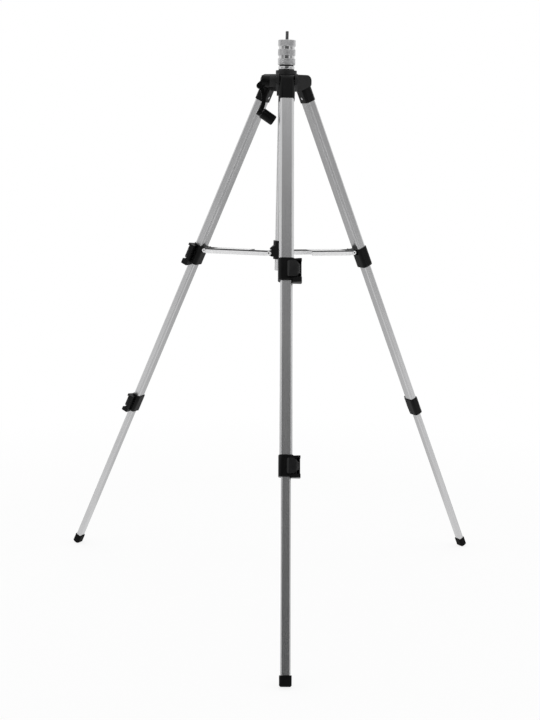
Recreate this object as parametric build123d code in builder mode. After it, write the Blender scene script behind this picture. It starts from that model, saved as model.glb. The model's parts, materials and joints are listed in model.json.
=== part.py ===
from build123d import *
from math import cos, pi, radians, sin, tan
import os

# A telescopic tripod for a laser level, in millimetres, +Z up.
# The origin is the middle of the head's top face, where an instrument seats on the stud.
# Three legs swing on a spider, a brace hub slides on the guide tube below it,
# and a geared column carries the head.

# Leg layout
leg_azimuths = {"front": -90, "right": 30, "left": 150}
splay_angle = 24.74
leg_pivot_radius = 34

# Leg tubes: flat sections with round corners, as depth outward, width sideways and corner radius
upper_section = (18.4, 25.6, 5)
middle_section = (14.2, 21.6, 4)
lower_section = (10.8, 16.6, 3)
tube_wall = 1.2
# Places along the leg, measured from its pivot
upper_tube_start = 10.5
upper_clamp_start = 343
lower_clamp_start = 690.5
foot_end = 1066
tube_overlap = 42
bush_rim_height = 6
bush_spigot_length = 12

# Clearances
slide_clearance = 0.25
socket_clearance = 0.05
running_clearance = 0.05
pin_seat_clearance = 0.02
swing_clearance = 0.3

# Knuckle at the top of each leg
knuckle_wall = 1.4
knuckle_end = 37
hinge_pin_radius = 3

# Leg clamps
upper_clamp_height = 40
lower_clamp_height = 37
clamp_wall = 2
clamp_socket_depth = 6
clamp_slit_width = 1.6
clamp_rim_chamfer = 0.8
grip_wall = 1.6
ear_setback = 2.2
ear_rise = 4
upper_ear_overhang = 5.5
lower_ear_overhang = 2.2
ear_corner_radius = 2.5
ear_lip = 0.4
trough_wall = 2.1

# Clamp levers
lever_barrel_radius = 5.4
lever_pin_radius = 2
lever_pad_thickness = 3
lever_pad_start = 1
lever_bevel_width = 3.7
lever_tip_radius = 0.6
lever_bend_radius = 1.4
lever_corner_cut = 8
lever_free_corner_cut = 2
grip_groove_width = 1.3
grip_groove_depth = 0.8
grip_groove_count = 4

# Rubber feet
foot_height = 18
foot_wall = 1.8
foot_floor = 4.5
foot_bottom_chamfer = 2.2

# Spider, from its lip down
spider_lip_radius = 14.5
spider_lip_height = 2.3
spider_rim_radius = 19.5
spider_rim_height = 7.3
spider_rim_fillet = 0.8
spider_body_height = 25.7
skirt_radius = 16.9
skirt_height = 13
leg_pivot_below_fork = 13.3
shaft_below_fork = 12.9
cheek_thickness = 5.4
cheek_root_radius = 8
cheek_outer_radius = 43.5
cheek_end = 9.2
cheek_top_fillet = 10.5
cheek_low_fillet = 4.5
cheek_face_cover = 1.6

# Column, guide tube and rack
column_radius = 11
column_wall = 1.8
column_length = 347.3
column_guide_length = 14
column_guide_floor = 3
guide_tube_radius = 14
guide_tube_wall = 1.2
guide_tube_length = 339.6
guide_tube_seat = 2
rack_width = 6
rack_length = 280
rack_below_lip = 9.3
rack_flange_width = 9
rack_flange_front = 7.8
rack_flange_back = 6.3
rack_pitch_line = 9.5

# Pinion and its shaft
gear_module = 0.8
pinion_teeth = 10
gear_addendum = 0.55
gear_dedendum = 0.9
tooth_share = 0.4
flank_angle = 20
pinion_width = 5.4
shaft_radius = 2.6
shaft_blind_end = 11.5
chamber_clearance = 0.5

# Crank
crank_boss_radius = 10.85
crank_boss_end = 31.3
crank_hub_end = 46.1
crank_hub_fillet = 1.2
crank_gap = 0.3
crank_shaft_end_wall = 8
arm_slot_depth = 5
fold_pin_out = 49.3
fold_pin_below_shaft = 8.8
fold_pin_radius = 1.8
fold_cheek_radius = 5.7
fold_cheek_half = 8
arm_thickness = 7
arm_width = 7.2
arm_bow_out = 40.8
arm_bow_below_shaft = 31.8
arm_end_out = 47.4
arm_end_below_shaft = 55.4
knob_tilt = 33.3
arm_boss_radius = 8.2
arm_boss_length = 8
knob_radius = 9.75
knob_length = 27
knob_end_fillet = 3
knob_rim_chamfer = 0.8
knob_axle_radius = 2.4
knob_axle_reach = 22

# Head
head_radius = 16.1
head_band_count = 3
head_band_height = 11.8
head_groove_radius = 14.6
head_groove_height = 4.9
head_edge_chamfer = 0.6
head_foot_radius = 13.2
head_foot_height = 2.3
head_turn_gap = 0.2
neck_radius = 14.9
neck_height = 5
plug_spigot_radius = 7
plug_spigot_gap = 2
plug_tail_length = 8
stud_radius = 3.175
stud_length = 15.9
stud_tip_chamfer = 0.8
stud_shank_radius = 4.5
stud_shank_length = 12

# Braces and their hub
brace_pivot_below_rim = 2
brace_pivot_inset = 18.5
brace_height_above = 4.4
brace_height_below = 5.4
brace_sheet = 1.2
brace_near_face = -8.2
brace_far_face = 17.8
brace_end_radius = 4.6
brace_web_start = 18
brace_web_cut = 45
lug_root_depth = 8.5
lug_nose_above_rim = 11
lug_nose_reach = 2
lug_nose_radius = 2.6
rivet_radius = 2
rivet_head_radius = 3.4
rivet_head_height = 1
hub_pivot_radius = 19
hub_pivot_below_legs = 317.5
hub_top_rise = 23.6
hub_bottom_fall = 11
hub_sleeve_radius = 17.2
hub_flare_radius = 23.6
hub_flare_top_rise = 15
hub_flare_low_rise = 6.5
hub_flare_edge = 2.5
hub_lug_width = 11

os.makedirs("parts", exist_ok=True)


def save(part, name):
    part.label = name
    export_step(part, f"parts/{name}.step")


def grown(section, amount):
    # A rounded section with its outline moved outward by this amount
    depth, width, corner = section
    return depth + 2 * amount, width + 2 * amount, corner + amount


# Heights below the head's top face, each from the one above it
head_height = head_band_count * (head_band_height + head_groove_height) - head_groove_height + head_foot_height
neck_top_drop = head_height + head_turn_gap
spider_lip_drop = neck_top_drop + neck_height
spider_rim_drop = spider_lip_drop + spider_lip_height
fork_top_drop = spider_rim_drop + spider_rim_height
leg_pivot_drop = fork_top_drop + leg_pivot_below_fork
shaft_drop = fork_top_drop + shaft_below_fork
spider_body_drop = fork_top_drop + spider_body_height
skirt_drop = spider_body_drop + skirt_height
guide_tube_top_drop = spider_body_drop - guide_tube_seat
guide_tube_end_drop = guide_tube_top_drop + guide_tube_length
column_end_drop = spider_lip_drop + column_length
rack_top_drop = spider_lip_drop + rack_below_lip
rack_end_drop = rack_top_drop + rack_length
fold_pin_drop = shaft_drop + fold_pin_below_shaft
arm_bow_drop = shaft_drop + arm_bow_below_shaft
arm_end_drop = shaft_drop + arm_end_below_shaft
hub_pivot_drop = leg_pivot_drop + hub_pivot_below_legs
plug_spigot_top_drop = stud_shank_length + plug_spigot_gap

# Places along the leg
upper_tube_end = upper_clamp_start + clamp_socket_depth
middle_tube_start = upper_tube_end - tube_overlap
middle_tube_end = lower_clamp_start + clamp_socket_depth
lower_tube_start = middle_tube_end - tube_overlap
lower_tube_end = foot_end - foot_floor
foot_start = foot_end - foot_height
brace_pivot_along = upper_clamp_start + brace_pivot_below_rim
lug_nose_along = upper_clamp_start - lug_nose_above_rim
lug_nose_inset = brace_pivot_inset + lug_nose_reach

# Fits between neighbours
knuckle_section = grown(upper_section, knuckle_wall)
knuckle_barrel_radius = knuckle_section[0] / 2
cheek_inner = knuckle_section[1] / 2 + swing_clearance
cheek_outer = cheek_inner + cheek_thickness
lug_far_side = brace_far_face - brace_sheet - swing_clearance / 2
lug_near_side = brace_near_face + brace_sheet + swing_clearance / 2
pinion_pitch_radius = gear_module * pinion_teeth / 2
shaft_forward = rack_pitch_line + pinion_pitch_radius
rack_pitch = gear_module * pi


def leg_directions(azimuth):
    outward = Vector(cos(radians(azimuth)), sin(radians(azimuth)), 0)
    sideways = Vector(-sin(radians(azimuth)), cos(radians(azimuth)), 0)
    return outward, sideways


def radial_plane(azimuth):
    # Upright plane through the tripod's axis: local X runs outward, local Y runs up
    outward, sideways = leg_directions(azimuth)
    return Plane(origin=(0, 0, 0), x_dir=outward, z_dir=-sideways)


def leg_plane(azimuth):
    # Square to the leg at its pivot: local X points outward, local Y sideways, local Z up the leg
    outward, sideways = leg_directions(azimuth)
    pivot = outward * leg_pivot_radius + Vector(0, 0, -leg_pivot_drop)
    out_of_leg = outward * cos(radians(splay_angle)) + Vector(0, 0, sin(radians(splay_angle)))
    up_leg = outward * -sin(radians(splay_angle)) + Vector(0, 0, cos(radians(splay_angle)))
    return Plane(origin=pivot, x_dir=out_of_leg, z_dir=up_leg)


def side_plane(azimuth):
    # Along the leg through its pivot: local X points outward, local Y up the leg
    flat = leg_plane(azimuth)
    return Plane(origin=flat.origin, x_dir=flat.x_dir, z_dir=-flat.y_dir)


def tube(plane, section, start, end):
    with BuildPart() as piece:
        with BuildSketch(plane.offset(-end)):
            RectangleRounded(*section)
            RectangleRounded(*grown(section, -tube_wall), mode=Mode.SUBTRACT)
        extrude(amount=end - start)
    return piece.part


def tube_bush(plane, outer_tube, inner_tube, start):
    # Plastic cap on the top of a sliding tube: a rim on the tube's end and a spigot inside it
    with BuildPart() as piece:
        with BuildSketch(plane.offset(-start)):
            RectangleRounded(*grown(outer_tube, -tube_wall - slide_clearance))
        extrude(amount=bush_rim_height)
        with BuildSketch(plane.offset(-start)):
            RectangleRounded(*grown(inner_tube, -tube_wall - socket_clearance))
        extrude(amount=-bush_spigot_length)
    return piece.part


def knuckle(azimuth):
    depth, width, corner = knuckle_section
    flat = leg_plane(azimuth)
    with BuildPart() as piece:
        with BuildSketch(side_plane(azimuth)):
            Circle(knuckle_barrel_radius)
            with Locations((0, -knuckle_end / 2)):
                Rectangle(depth, knuckle_end)
        extrude(amount=width / 2, both=True)
        with BuildSketch(flat.offset(-knuckle_end)):
            RectangleRounded(depth, width, corner)
        extrude(amount=knuckle_end + knuckle_barrel_radius, mode=Mode.INTERSECT)
        with BuildSketch(flat.offset(-knuckle_end)):
            RectangleRounded(*grown(upper_section, socket_clearance))
        extrude(amount=knuckle_end - upper_tube_start, mode=Mode.SUBTRACT)
        with BuildSketch(side_plane(azimuth)):
            Circle(hinge_pin_radius + running_clearance)
        extrude(amount=width / 2, both=True, mode=Mode.SUBTRACT)
    return piece.part


def pad_face(fixed):
    # How far out the lever's pad stands when it lies on the collar
    return fixed[0] / 2 + clamp_wall + swing_clearance + lever_pad_thickness


def lever_pin_place(fixed, sliding):
    # Where a lever's pin stands beside the tube that the clamp grips
    wall_face = sliding[1] / 2 + slide_clearance + grip_wall
    return (pad_face(fixed) - lever_barrel_radius, wall_face + swing_clearance + lever_barrel_radius)


def lever_span(start, height):
    # The lever's upper and lower end, between the clamp's ears
    return start + clamp_socket_depth + swing_clearance, start + height - ear_rise - swing_clearance


def clamp(azimuth, fixed, sliding, start, height, overhang, brace_lug):
    # Collar that ends one tube and grips the next; it has a housing for the lever and may have a brace lug
    flat = leg_plane(azimuth)
    side = side_plane(azimuth)
    collar = grown(fixed, clamp_wall)
    collar_face = collar[0] / 2
    end = start + height
    ledge = start + clamp_socket_depth
    low_ear = end - ear_rise
    foot_of_ear = end + overhang
    pin_place = lever_pin_place(fixed, sliding)
    barrel_room = lever_barrel_radius + swing_clearance
    slide_half = sliding[1] / 2
    house_back = pin_place[0] - barrel_room - trough_wall
    house_side = pin_place[1] + barrel_room + trough_wall
    with BuildPart() as piece:
        with BuildSketch(flat.offset(-end)):
            RectangleRounded(*collar)
        extrude(amount=height)
        rims = piece.faces().filter_by(flat).edges()
        chamfer(rims, length=clamp_rim_chamfer)
        # Ears above and below the lever's barrel
        for ear_top, ear_foot in ((start + ear_setback, ledge), (low_ear, foot_of_ear)):
            with BuildSketch(flat.offset(-ear_foot)):
                round_aside = house_side + ear_lip - ear_corner_radius
                round_front = pad_face(fixed) - ear_corner_radius
                round_back = house_back - ear_lip + ear_corner_radius
                with Locations((round_front, round_aside), (round_back, round_aside)):
                    Circle(ear_corner_radius)
                with Locations(((house_back + collar_face) / 2, slide_half)):
                    Rectangle(collar_face - house_back, grip_wall)
                make_hull()
            extrude(amount=ear_foot - ear_top)
        # Trough behind the barrel, from ear to ear
        with BuildSketch(flat.offset(-low_ear)):
            trough_front = pin_place[0] - trough_wall
            with Locations(((house_back + trough_front) / 2, (slide_half + house_side) / 2)):
                Rectangle(trough_front - house_back, house_side - slide_half)
        extrude(amount=low_ear - ledge)
        if brace_lug:
            with BuildSketch(side.offset(-lug_far_side)):
                with Locations((-brace_pivot_inset, -brace_pivot_along)):
                    Circle(brace_end_radius)
                with Locations((lug_root_depth / 2 - collar_face, -brace_pivot_along - brace_end_radius)):
                    Rectangle(lug_root_depth, 2 * brace_end_radius)
                make_hull()
            extrude(amount=lug_far_side - lug_near_side)
            # The lug's nose stands over the brace's end
            with BuildSketch(side.offset(-lug_far_side)):
                with Locations((-brace_pivot_inset, -brace_pivot_along)):
                    Circle(brace_end_radius)
                with Locations((-lug_nose_inset, -lug_nose_along)):
                    Circle(lug_nose_radius)
                make_hull()
            extrude(amount=lug_far_side - lug_near_side)
        # Room for the barrel, then the tubes' bores and the slit that lets the collar close
        with BuildSketch(flat.offset(-low_ear)):
            with Locations(pin_place):
                Circle(barrel_room)
        extrude(amount=low_ear - ledge, mode=Mode.SUBTRACT)
        with BuildSketch(flat.offset(-ledge)):
            RectangleRounded(*grown(fixed, socket_clearance))
        extrude(amount=height, mode=Mode.SUBTRACT)
        with BuildSketch(flat.offset(-foot_of_ear)):
            RectangleRounded(*grown(sliding, slide_clearance))
        extrude(amount=height, mode=Mode.SUBTRACT)
        with BuildSketch(flat.offset(-foot_of_ear)):
            with Locations((house_back - clamp_slit_width, slide_half + grip_wall)):
                Rectangle(clamp_slit_width, 4 * grip_wall)
        extrude(amount=foot_of_ear - ledge, mode=Mode.SUBTRACT)
        with BuildSketch(flat.offset(-foot_of_ear)):
            with Locations(pin_place):
                Circle(lever_pin_radius + pin_seat_clearance)
        extrude(amount=foot_of_ear - start, mode=Mode.SUBTRACT)
        if brace_lug:
            with BuildSketch(side):
                with Locations((-brace_pivot_inset, -brace_pivot_along)):
                    Circle(rivet_radius + running_clearance)
            extrude(amount=brace_far_face, both=True, mode=Mode.SUBTRACT)
    return piece.part


def lever(azimuth, fixed, sliding, start, height):
    # Cam barrel on its pin, and a pad that lies on the collar's outer face
    flat = leg_plane(azimuth)
    top, low = lever_span(start, height)
    tall = low - top
    pin_out, pin_aside = lever_pin_place(fixed, sliding)
    pad_back = pad_face(fixed) - lever_pad_thickness
    bend = (pad_face(fixed) - lever_bend_radius, lever_pad_start + lever_bevel_width)
    tip = (pad_back + lever_tip_radius, lever_pad_start + lever_tip_radius)
    with BuildPart() as piece:
        with BuildSketch(flat.offset(-low)):
            with Locations(((pin_out + pad_face(fixed)) / 2, (bend[1] + pin_aside) / 2)):
                Rectangle(pad_face(fixed) - pin_out, pin_aside - bend[1])
        extrude(amount=tall)
        with BuildSketch(flat.offset(-low)):
            with Locations(bend):
                Circle(lever_bend_radius)
            with Locations(tip):
                Circle(lever_tip_radius)
            make_hull()
        extrude(amount=tall)
        with BuildSketch(flat.offset(-low)):
            RectangleRounded(*grown(fixed, clamp_wall + swing_clearance))
        extrude(amount=tall, mode=Mode.SUBTRACT)
        with BuildSketch(flat.offset(-low)):
            with Locations((pin_out, pin_aside)):
                Circle(lever_barrel_radius)
        extrude(amount=tall)
        # Seen from outside the pad is straight at its free edge and narrows towards its barrel
        barrel_side = pin_aside + lever_barrel_radius
        across = Plane(origin=flat.origin, x_dir=flat.y_dir, z_dir=flat.x_dir)
        corners = [(barrel_side, 1, lever_corner_cut), (lever_pad_start, -1, lever_free_corner_cut)]
        with BuildSketch(across.offset(-lever_barrel_radius)):
            for aside, outer, cut in corners:
                for edge, upper in ((-top, 1), (-low, -1)):
                    Polygon(
                        (aside - outer * 2 * cut, edge + upper * cut),
                        (aside + outer * cut, edge + upper * cut),
                        (aside + outer * cut, edge - upper * 2 * cut),
                        align=None,
                    )
        extrude(amount=lever_barrel_radius + 2 * pad_face(fixed), mode=Mode.SUBTRACT)
        # Finger grooves round the barrel's free side
        step = (tall - 2 * lever_corner_cut) / grip_groove_count
        for groove in range(grip_groove_count):
            rise = lever_corner_cut + (groove + 0.5) * step - grip_groove_width / 2
            with BuildSketch(flat.offset(-low + rise)):
                with Locations((pin_out, pin_aside)):
                    Circle(lever_barrel_radius + grip_groove_depth)
                    Circle(lever_barrel_radius - grip_groove_depth, mode=Mode.SUBTRACT)
                with Locations((pin_out, pin_aside - lever_barrel_radius)):
                    Rectangle(4 * lever_barrel_radius, 2 * lever_barrel_radius, mode=Mode.SUBTRACT)
            extrude(amount=grip_groove_width, mode=Mode.SUBTRACT)
        with BuildSketch(flat.offset(-low)):
            with Locations((pin_out, pin_aside)):
                Circle(lever_pin_radius + running_clearance)
        extrude(amount=tall, mode=Mode.SUBTRACT)
    return piece.part


def lever_pin(azimuth, fixed, sliding, start, height, overhang):
    top = start + ear_setback
    low = start + height + overhang
    with BuildPart() as piece:
        with BuildSketch(leg_plane(azimuth).offset(-low)):
            with Locations(lever_pin_place(fixed, sliding)):
                Circle(lever_pin_radius)
        extrude(amount=low - top)
    return piece.part


def foot(azimuth):
    flat = leg_plane(azimuth)
    with BuildPart() as piece:
        with BuildSketch(flat.offset(-foot_end)):
            RectangleRounded(*grown(lower_section, foot_wall))
        extrude(amount=foot_height)
        sole = piece.faces().filter_by(flat).sort_by(Axis(flat.origin, flat.z_dir))[0]
        chamfer(sole.edges(), length=foot_bottom_chamfer)
        with BuildSketch(flat.offset(-lower_tube_end)):
            RectangleRounded(*grown(lower_section, socket_clearance))
        extrude(amount=lower_tube_end - foot_start, mode=Mode.SUBTRACT)
    return piece.part


def brace_line(azimuth):
    # The brace's side view: local X runs from its clamp pivot to its hub pivot, local Y runs up
    outward, sideways = leg_directions(azimuth)
    flat = leg_plane(azimuth)
    clamp_pivot = flat.origin - flat.x_dir * brace_pivot_inset - flat.z_dir * brace_pivot_along
    hub_pivot = outward * hub_pivot_radius + Vector(0, 0, -hub_pivot_drop)
    span = hub_pivot - clamp_pivot
    return Plane(origin=clamp_pivot, x_dir=span, z_dir=sideways), span.length


def brace(azimuth):
    # Folded sheet channel; only its far flange runs on to the hub
    side, length = brace_line(azimuth)
    height = brace_height_above + brace_height_below
    middle = (brace_height_above - brace_height_below) / 2
    web_end = length - brace_web_cut
    with BuildPart() as piece:
        with BuildSketch(side.offset(brace_far_face - brace_sheet)):
            Circle(brace_end_radius)
            with Locations((length, 0)):
                Circle(brace_end_radius)
            with Locations((length / 2, middle)):
                Rectangle(length - 4 * brace_end_radius, height)
            make_hull()
        extrude(amount=brace_sheet)
        with BuildSketch(side.offset(brace_near_face)):
            Circle(brace_end_radius)
            with Locations(((web_end + 2 * brace_end_radius) / 2, middle)):
                Rectangle(web_end - 2 * brace_end_radius, height)
            make_hull()
        extrude(amount=brace_sheet)
        with BuildSketch(side.offset(brace_near_face)):
            with Locations(((brace_web_start + web_end) / 2, brace_height_above - brace_sheet / 2)):
                Rectangle(web_end - brace_web_start, brace_sheet)
        extrude(amount=brace_far_face - brace_near_face)
        with BuildSketch(side.offset(brace_near_face)):
            with Locations((0, 0), (length, 0)):
                Circle(rivet_radius + pin_seat_clearance)
        extrude(amount=brace_far_face - brace_near_face, mode=Mode.SUBTRACT)
    return piece.part


def brace_rivets(azimuth):
    # A through rivet at the clamp and a headed stub at the hub
    side, length = brace_line(azimuth)
    with BuildPart() as piece:
        with BuildSketch(side.offset(brace_near_face)):
            Circle(rivet_radius)
        extrude(amount=brace_far_face - brace_near_face)
        with BuildSketch(side.offset(brace_near_face - rivet_head_height)):
            Circle(rivet_head_radius)
        extrude(amount=rivet_head_height)
        with BuildSketch(side.offset(brace_far_face)):
            with Locations((0, 0), (length, 0)):
                Circle(rivet_head_radius)
        extrude(amount=rivet_head_height)
        with BuildSketch(side.offset(brace_far_face - brace_sheet)):
            with Locations((length, 0)):
                Circle(rivet_radius)
        extrude(amount=brace_sheet)
    return piece.part


# Legs
upper_pair = (upper_section, middle_section)
lower_pair = (middle_section, lower_section)
upper_place = (upper_clamp_start, upper_clamp_height)
lower_place = (lower_clamp_start, lower_clamp_height)
for leg, azimuth in leg_azimuths.items():
    flat = leg_plane(azimuth)
    save(knuckle(azimuth), f"{leg}_knuckle")
    save(tube(flat, upper_section, upper_tube_start, upper_tube_end), f"{leg}_upper_tube")
    save(clamp(azimuth, *upper_pair, *upper_place, upper_ear_overhang, True), f"{leg}_upper_clamp")
    save(lever(azimuth, *upper_pair, *upper_place), f"{leg}_upper_lever")
    save(lever_pin(azimuth, *upper_pair, *upper_place, upper_ear_overhang), f"{leg}_upper_lever_pin")
    save(tube(flat, middle_section, middle_tube_start, middle_tube_end), f"{leg}_middle_tube")
    save(tube_bush(flat, *upper_pair, middle_tube_start), f"{leg}_middle_bush")
    save(clamp(azimuth, *lower_pair, *lower_place, lower_ear_overhang, False), f"{leg}_lower_clamp")
    save(lever(azimuth, *lower_pair, *lower_place), f"{leg}_lower_lever")
    save(lever_pin(azimuth, *lower_pair, *lower_place, lower_ear_overhang), f"{leg}_lower_lever_pin")
    save(tube(flat, lower_section, lower_tube_start, lower_tube_end), f"{leg}_lower_tube")
    save(tube_bush(flat, *lower_pair, lower_tube_start), f"{leg}_lower_bush")
    save(foot(azimuth), f"{leg}_foot")
    save(brace(azimuth), f"{leg}_brace")
    save(brace_rivets(azimuth), f"{leg}_brace_rivets")

# Spider: turned middle, three forks, crank boss, then the bores
shaft_plane = Plane(origin=(0, -shaft_forward, -shaft_drop), x_dir=(0, 1, 0), z_dir=(1, 0, 0))
fork_slope = tan(radians(splay_angle))
cheek_low_radius = leg_pivot_radius + cheek_end * sin(radians(splay_angle))
cheek_low_drop = leg_pivot_drop + cheek_end * cos(radians(splay_angle))
with BuildPart() as spider:
    with BuildSketch(Plane.XZ):
        with BuildLine():
            Polyline(
                (0, -spider_lip_drop),
                (spider_lip_radius, -spider_lip_drop),
                (spider_lip_radius, -spider_rim_drop),
                (spider_rim_radius, -spider_rim_drop),
                (spider_rim_radius, -spider_body_drop),
                (skirt_radius, -spider_body_drop),
                (skirt_radius, -skirt_drop),
                (0, -skirt_drop),
                close=True,
            )
        make_face()
    revolve(axis=Axis.Z)
    rim_edges = spider.edges().filter_by(GeomType.CIRCLE).group_by(SortBy.RADIUS)[-1]
    fillet(rim_edges.sort_by(Axis.Z)[-1], radius=spider_rim_fillet)
    for azimuth in leg_azimuths.values():
        with BuildSketch(radial_plane(azimuth)) as cheek:
            outer_low_drop = cheek_low_drop - (cheek_outer_radius - cheek_low_radius) * fork_slope
            root_low_drop = cheek_low_drop - (cheek_root_radius - cheek_low_radius) * fork_slope
            Polygon(
                (cheek_root_radius, -fork_top_drop),
                (cheek_outer_radius, -fork_top_drop),
                (cheek_outer_radius, -outer_low_drop),
                (cheek_root_radius, -root_low_drop),
                align=None,
            )
            fillet(cheek.vertices().group_by(Axis.X)[-1].sort_by(Axis.Y)[-1], radius=cheek_top_fillet)
            fillet(cheek.vertices().group_by(Axis.X)[-1].sort_by(Axis.Y)[0], radius=cheek_low_fillet)
        extrude(amount=cheek_outer, both=True)
    with BuildSketch(shaft_plane):
        Circle(crank_boss_radius)
    extrude(amount=-crank_boss_end)
    # Slots that the knuckles swing in
    slot_back = leg_pivot_radius - knuckle_barrel_radius - swing_clearance
    for azimuth in leg_azimuths.values():
        with BuildSketch(radial_plane(azimuth)):
            with Locations((slot_back + cheek_outer_radius / 2, -(spider_rim_drop + skirt_drop) / 2)):
                Rectangle(cheek_outer_radius, skirt_drop - spider_rim_drop)
        extrude(amount=cheek_inner, both=True, mode=Mode.SUBTRACT)
    # Room for the crank's hub beside the left fork
    with BuildSketch(shaft_plane.offset(-crank_boss_end)):
        Circle(crank_boss_radius + 2 * swing_clearance)
    extrude(amount=-crank_boss_end, mode=Mode.SUBTRACT)
    # Below the forks only the skirt goes down round the guide tube
    with BuildSketch(Plane.XY.offset(-skirt_drop)):
        Circle(2 * cheek_outer_radius)
        Circle(skirt_radius, mode=Mode.SUBTRACT)
    extrude(amount=skirt_drop - cheek_low_drop - cheek_end, mode=Mode.SUBTRACT)
    with BuildSketch(Plane.XY.offset(-skirt_drop)):
        Circle(column_radius + running_clearance)
    extrude(amount=skirt_drop, mode=Mode.SUBTRACT)
    with BuildSketch(Plane.XY.offset(-skirt_drop)):
        Circle(guide_tube_radius + pin_seat_clearance)
    extrude(amount=skirt_drop - guide_tube_top_drop, mode=Mode.SUBTRACT)
    with BuildSketch(shaft_plane.offset(-pinion_width / 2 - chamber_clearance)):
        Circle(pinion_pitch_radius + gear_addendum + chamber_clearance)
    extrude(amount=pinion_width + 2 * chamber_clearance, mode=Mode.SUBTRACT)
    with BuildSketch(shaft_plane.offset(-crank_boss_end)):
        Circle(shaft_radius + running_clearance)
    extrude(amount=crank_boss_end + shaft_blind_end + running_clearance, mode=Mode.SUBTRACT)
    for azimuth in leg_azimuths.values():
        with BuildSketch(radial_plane(azimuth)):
            with Locations((leg_pivot_radius, -leg_pivot_drop)):
                Circle(hinge_pin_radius + pin_seat_clearance)
        extrude(amount=cheek_outer - cheek_face_cover, both=True, mode=Mode.SUBTRACT)
save(spider.part, "spider")

with BuildPart() as leg_hinge_pins:
    for azimuth in leg_azimuths.values():
        with BuildSketch(radial_plane(azimuth)):
            with Locations((leg_pivot_radius, -leg_pivot_drop)):
                Circle(hinge_pin_radius)
        extrude(amount=cheek_outer - cheek_face_cover, both=True)
save(leg_hinge_pins.part, "leg_hinge_pins")

with BuildPart() as guide_tube:
    with BuildSketch(Plane.XY.offset(-guide_tube_end_drop)):
        Circle(guide_tube_radius)
        Circle(guide_tube_radius - guide_tube_wall, mode=Mode.SUBTRACT)
    extrude(amount=guide_tube_end_drop - guide_tube_top_drop)
save(guide_tube.part, "guide_tube")

# Brace hub: a flared sleeve with a lug for each brace and a flat beside each lug
with BuildPart() as brace_hub:
    bore = guide_tube_radius + running_clearance
    flare_edge_rise = hub_flare_low_rise + hub_flare_edge
    with BuildSketch(Plane.XZ):
        with BuildLine():
            Polyline(
                (bore, hub_top_rise - hub_pivot_drop),
                (hub_sleeve_radius, hub_top_rise - hub_pivot_drop),
                (hub_sleeve_radius, hub_flare_top_rise - hub_pivot_drop),
                (hub_flare_radius, flare_edge_rise - hub_pivot_drop),
                (hub_flare_radius, hub_flare_low_rise - hub_pivot_drop),
                (hub_sleeve_radius, hub_flare_low_rise - hub_pivot_drop),
                (hub_sleeve_radius, -hub_bottom_fall - hub_pivot_drop),
                (bore, -hub_bottom_fall - hub_pivot_drop),
                close=True,
            )
        make_face()
    revolve(axis=Axis.Z)
    for azimuth in leg_azimuths.values():
        with BuildSketch(radial_plane(azimuth).offset(-lug_far_side)):
            with Locations((hub_pivot_radius, -hub_pivot_drop)):
                Circle(brace_end_radius)
            with Locations((guide_tube_radius / 2, -hub_pivot_drop)):
                Rectangle(guide_tube_radius, 2 * hub_flare_low_rise)
            make_hull()
        extrude(amount=hub_lug_width)
    for azimuth in leg_azimuths.values():
        with BuildSketch(radial_plane(azimuth).offset(-lug_far_side)):
            with Locations((0, -hub_pivot_drop)):
                Rectangle(4 * hub_flare_radius, 4 * hub_top_rise)
        extrude(amount=-hub_flare_radius, mode=Mode.SUBTRACT)
    with BuildSketch(Plane.XY.offset(-hub_pivot_drop - 2 * hub_top_rise)):
        Circle(bore)
    extrude(amount=4 * hub_top_rise, mode=Mode.SUBTRACT)
save(brace_hub.part, "brace_hub")

# Column with a slot down its front, and the rack that shows in the slot
rack_side = Plane(origin=(0, 0, 0), x_dir=(0, -1, 0), z_dir=(-1, 0, 0))
with BuildPart() as column:
    with BuildSketch(Plane.XY.offset(-column_end_drop)):
        Circle(column_radius)
        Circle(column_radius - column_wall, mode=Mode.SUBTRACT)
    extrude(amount=column_end_drop - spider_lip_drop)
    with BuildSketch(Plane.XY.offset(-rack_end_drop)):
        with Locations((0, -column_radius)):
            Rectangle(rack_width + 2 * running_clearance, 2 * column_radius - 2 * rack_flange_back)
    extrude(amount=rack_end_drop - rack_top_drop, mode=Mode.SUBTRACT)
save(column.part, "column_tube")

with BuildPart() as column_guide:
    with BuildSketch(Plane.XY.offset(-column_end_drop)):
        Circle(guide_tube_radius - guide_tube_wall - running_clearance)
        Circle(column_radius, mode=Mode.SUBTRACT)
    extrude(amount=column_guide_length)
    with BuildSketch(Plane.XY.offset(-column_end_drop)):
        Circle(guide_tube_radius - guide_tube_wall - running_clearance)
    extrude(amount=-column_guide_floor)
save(column_guide.part, "column_guide")

tooth_half = rack_pitch * tooth_share / 2
tooth_spread = tan(radians(flank_angle))
rack_tip = rack_pitch_line + gear_addendum
rack_root = rack_pitch_line - gear_dedendum
with BuildPart() as rack:
    outline = [(rack_flange_back, -rack_top_drop), (rack_flange_back, -rack_end_drop)]
    outline.append((rack_root, -rack_end_drop))
    lowest = -int((rack_end_drop - shaft_drop) / rack_pitch - 1)
    highest = int((shaft_drop - rack_top_drop) / rack_pitch - 1)
    for index in range(lowest, highest + 1):
        middle = -shaft_drop + (index + 0.5) * rack_pitch
        root_half = tooth_half + gear_dedendum * tooth_spread
        tip_half = tooth_half - gear_addendum * tooth_spread
        outline += [(rack_root, middle - root_half), (rack_tip, middle - tip_half)]
        outline += [(rack_tip, middle + tip_half), (rack_root, middle + root_half)]
    outline.append((rack_root, -rack_top_drop))
    with BuildSketch(rack_side):
        Polygon(*outline, align=None)
    extrude(amount=rack_width / 2, both=True)
    with BuildSketch(rack_side):
        with Locations(((rack_flange_back + rack_flange_front) / 2, -(rack_top_drop + rack_end_drop) / 2)):
            Rectangle(rack_flange_front - rack_flange_back, rack_end_drop - rack_top_drop)
    extrude(amount=rack_flange_width / 2, both=True)
save(rack.part, "column_rack")

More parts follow.
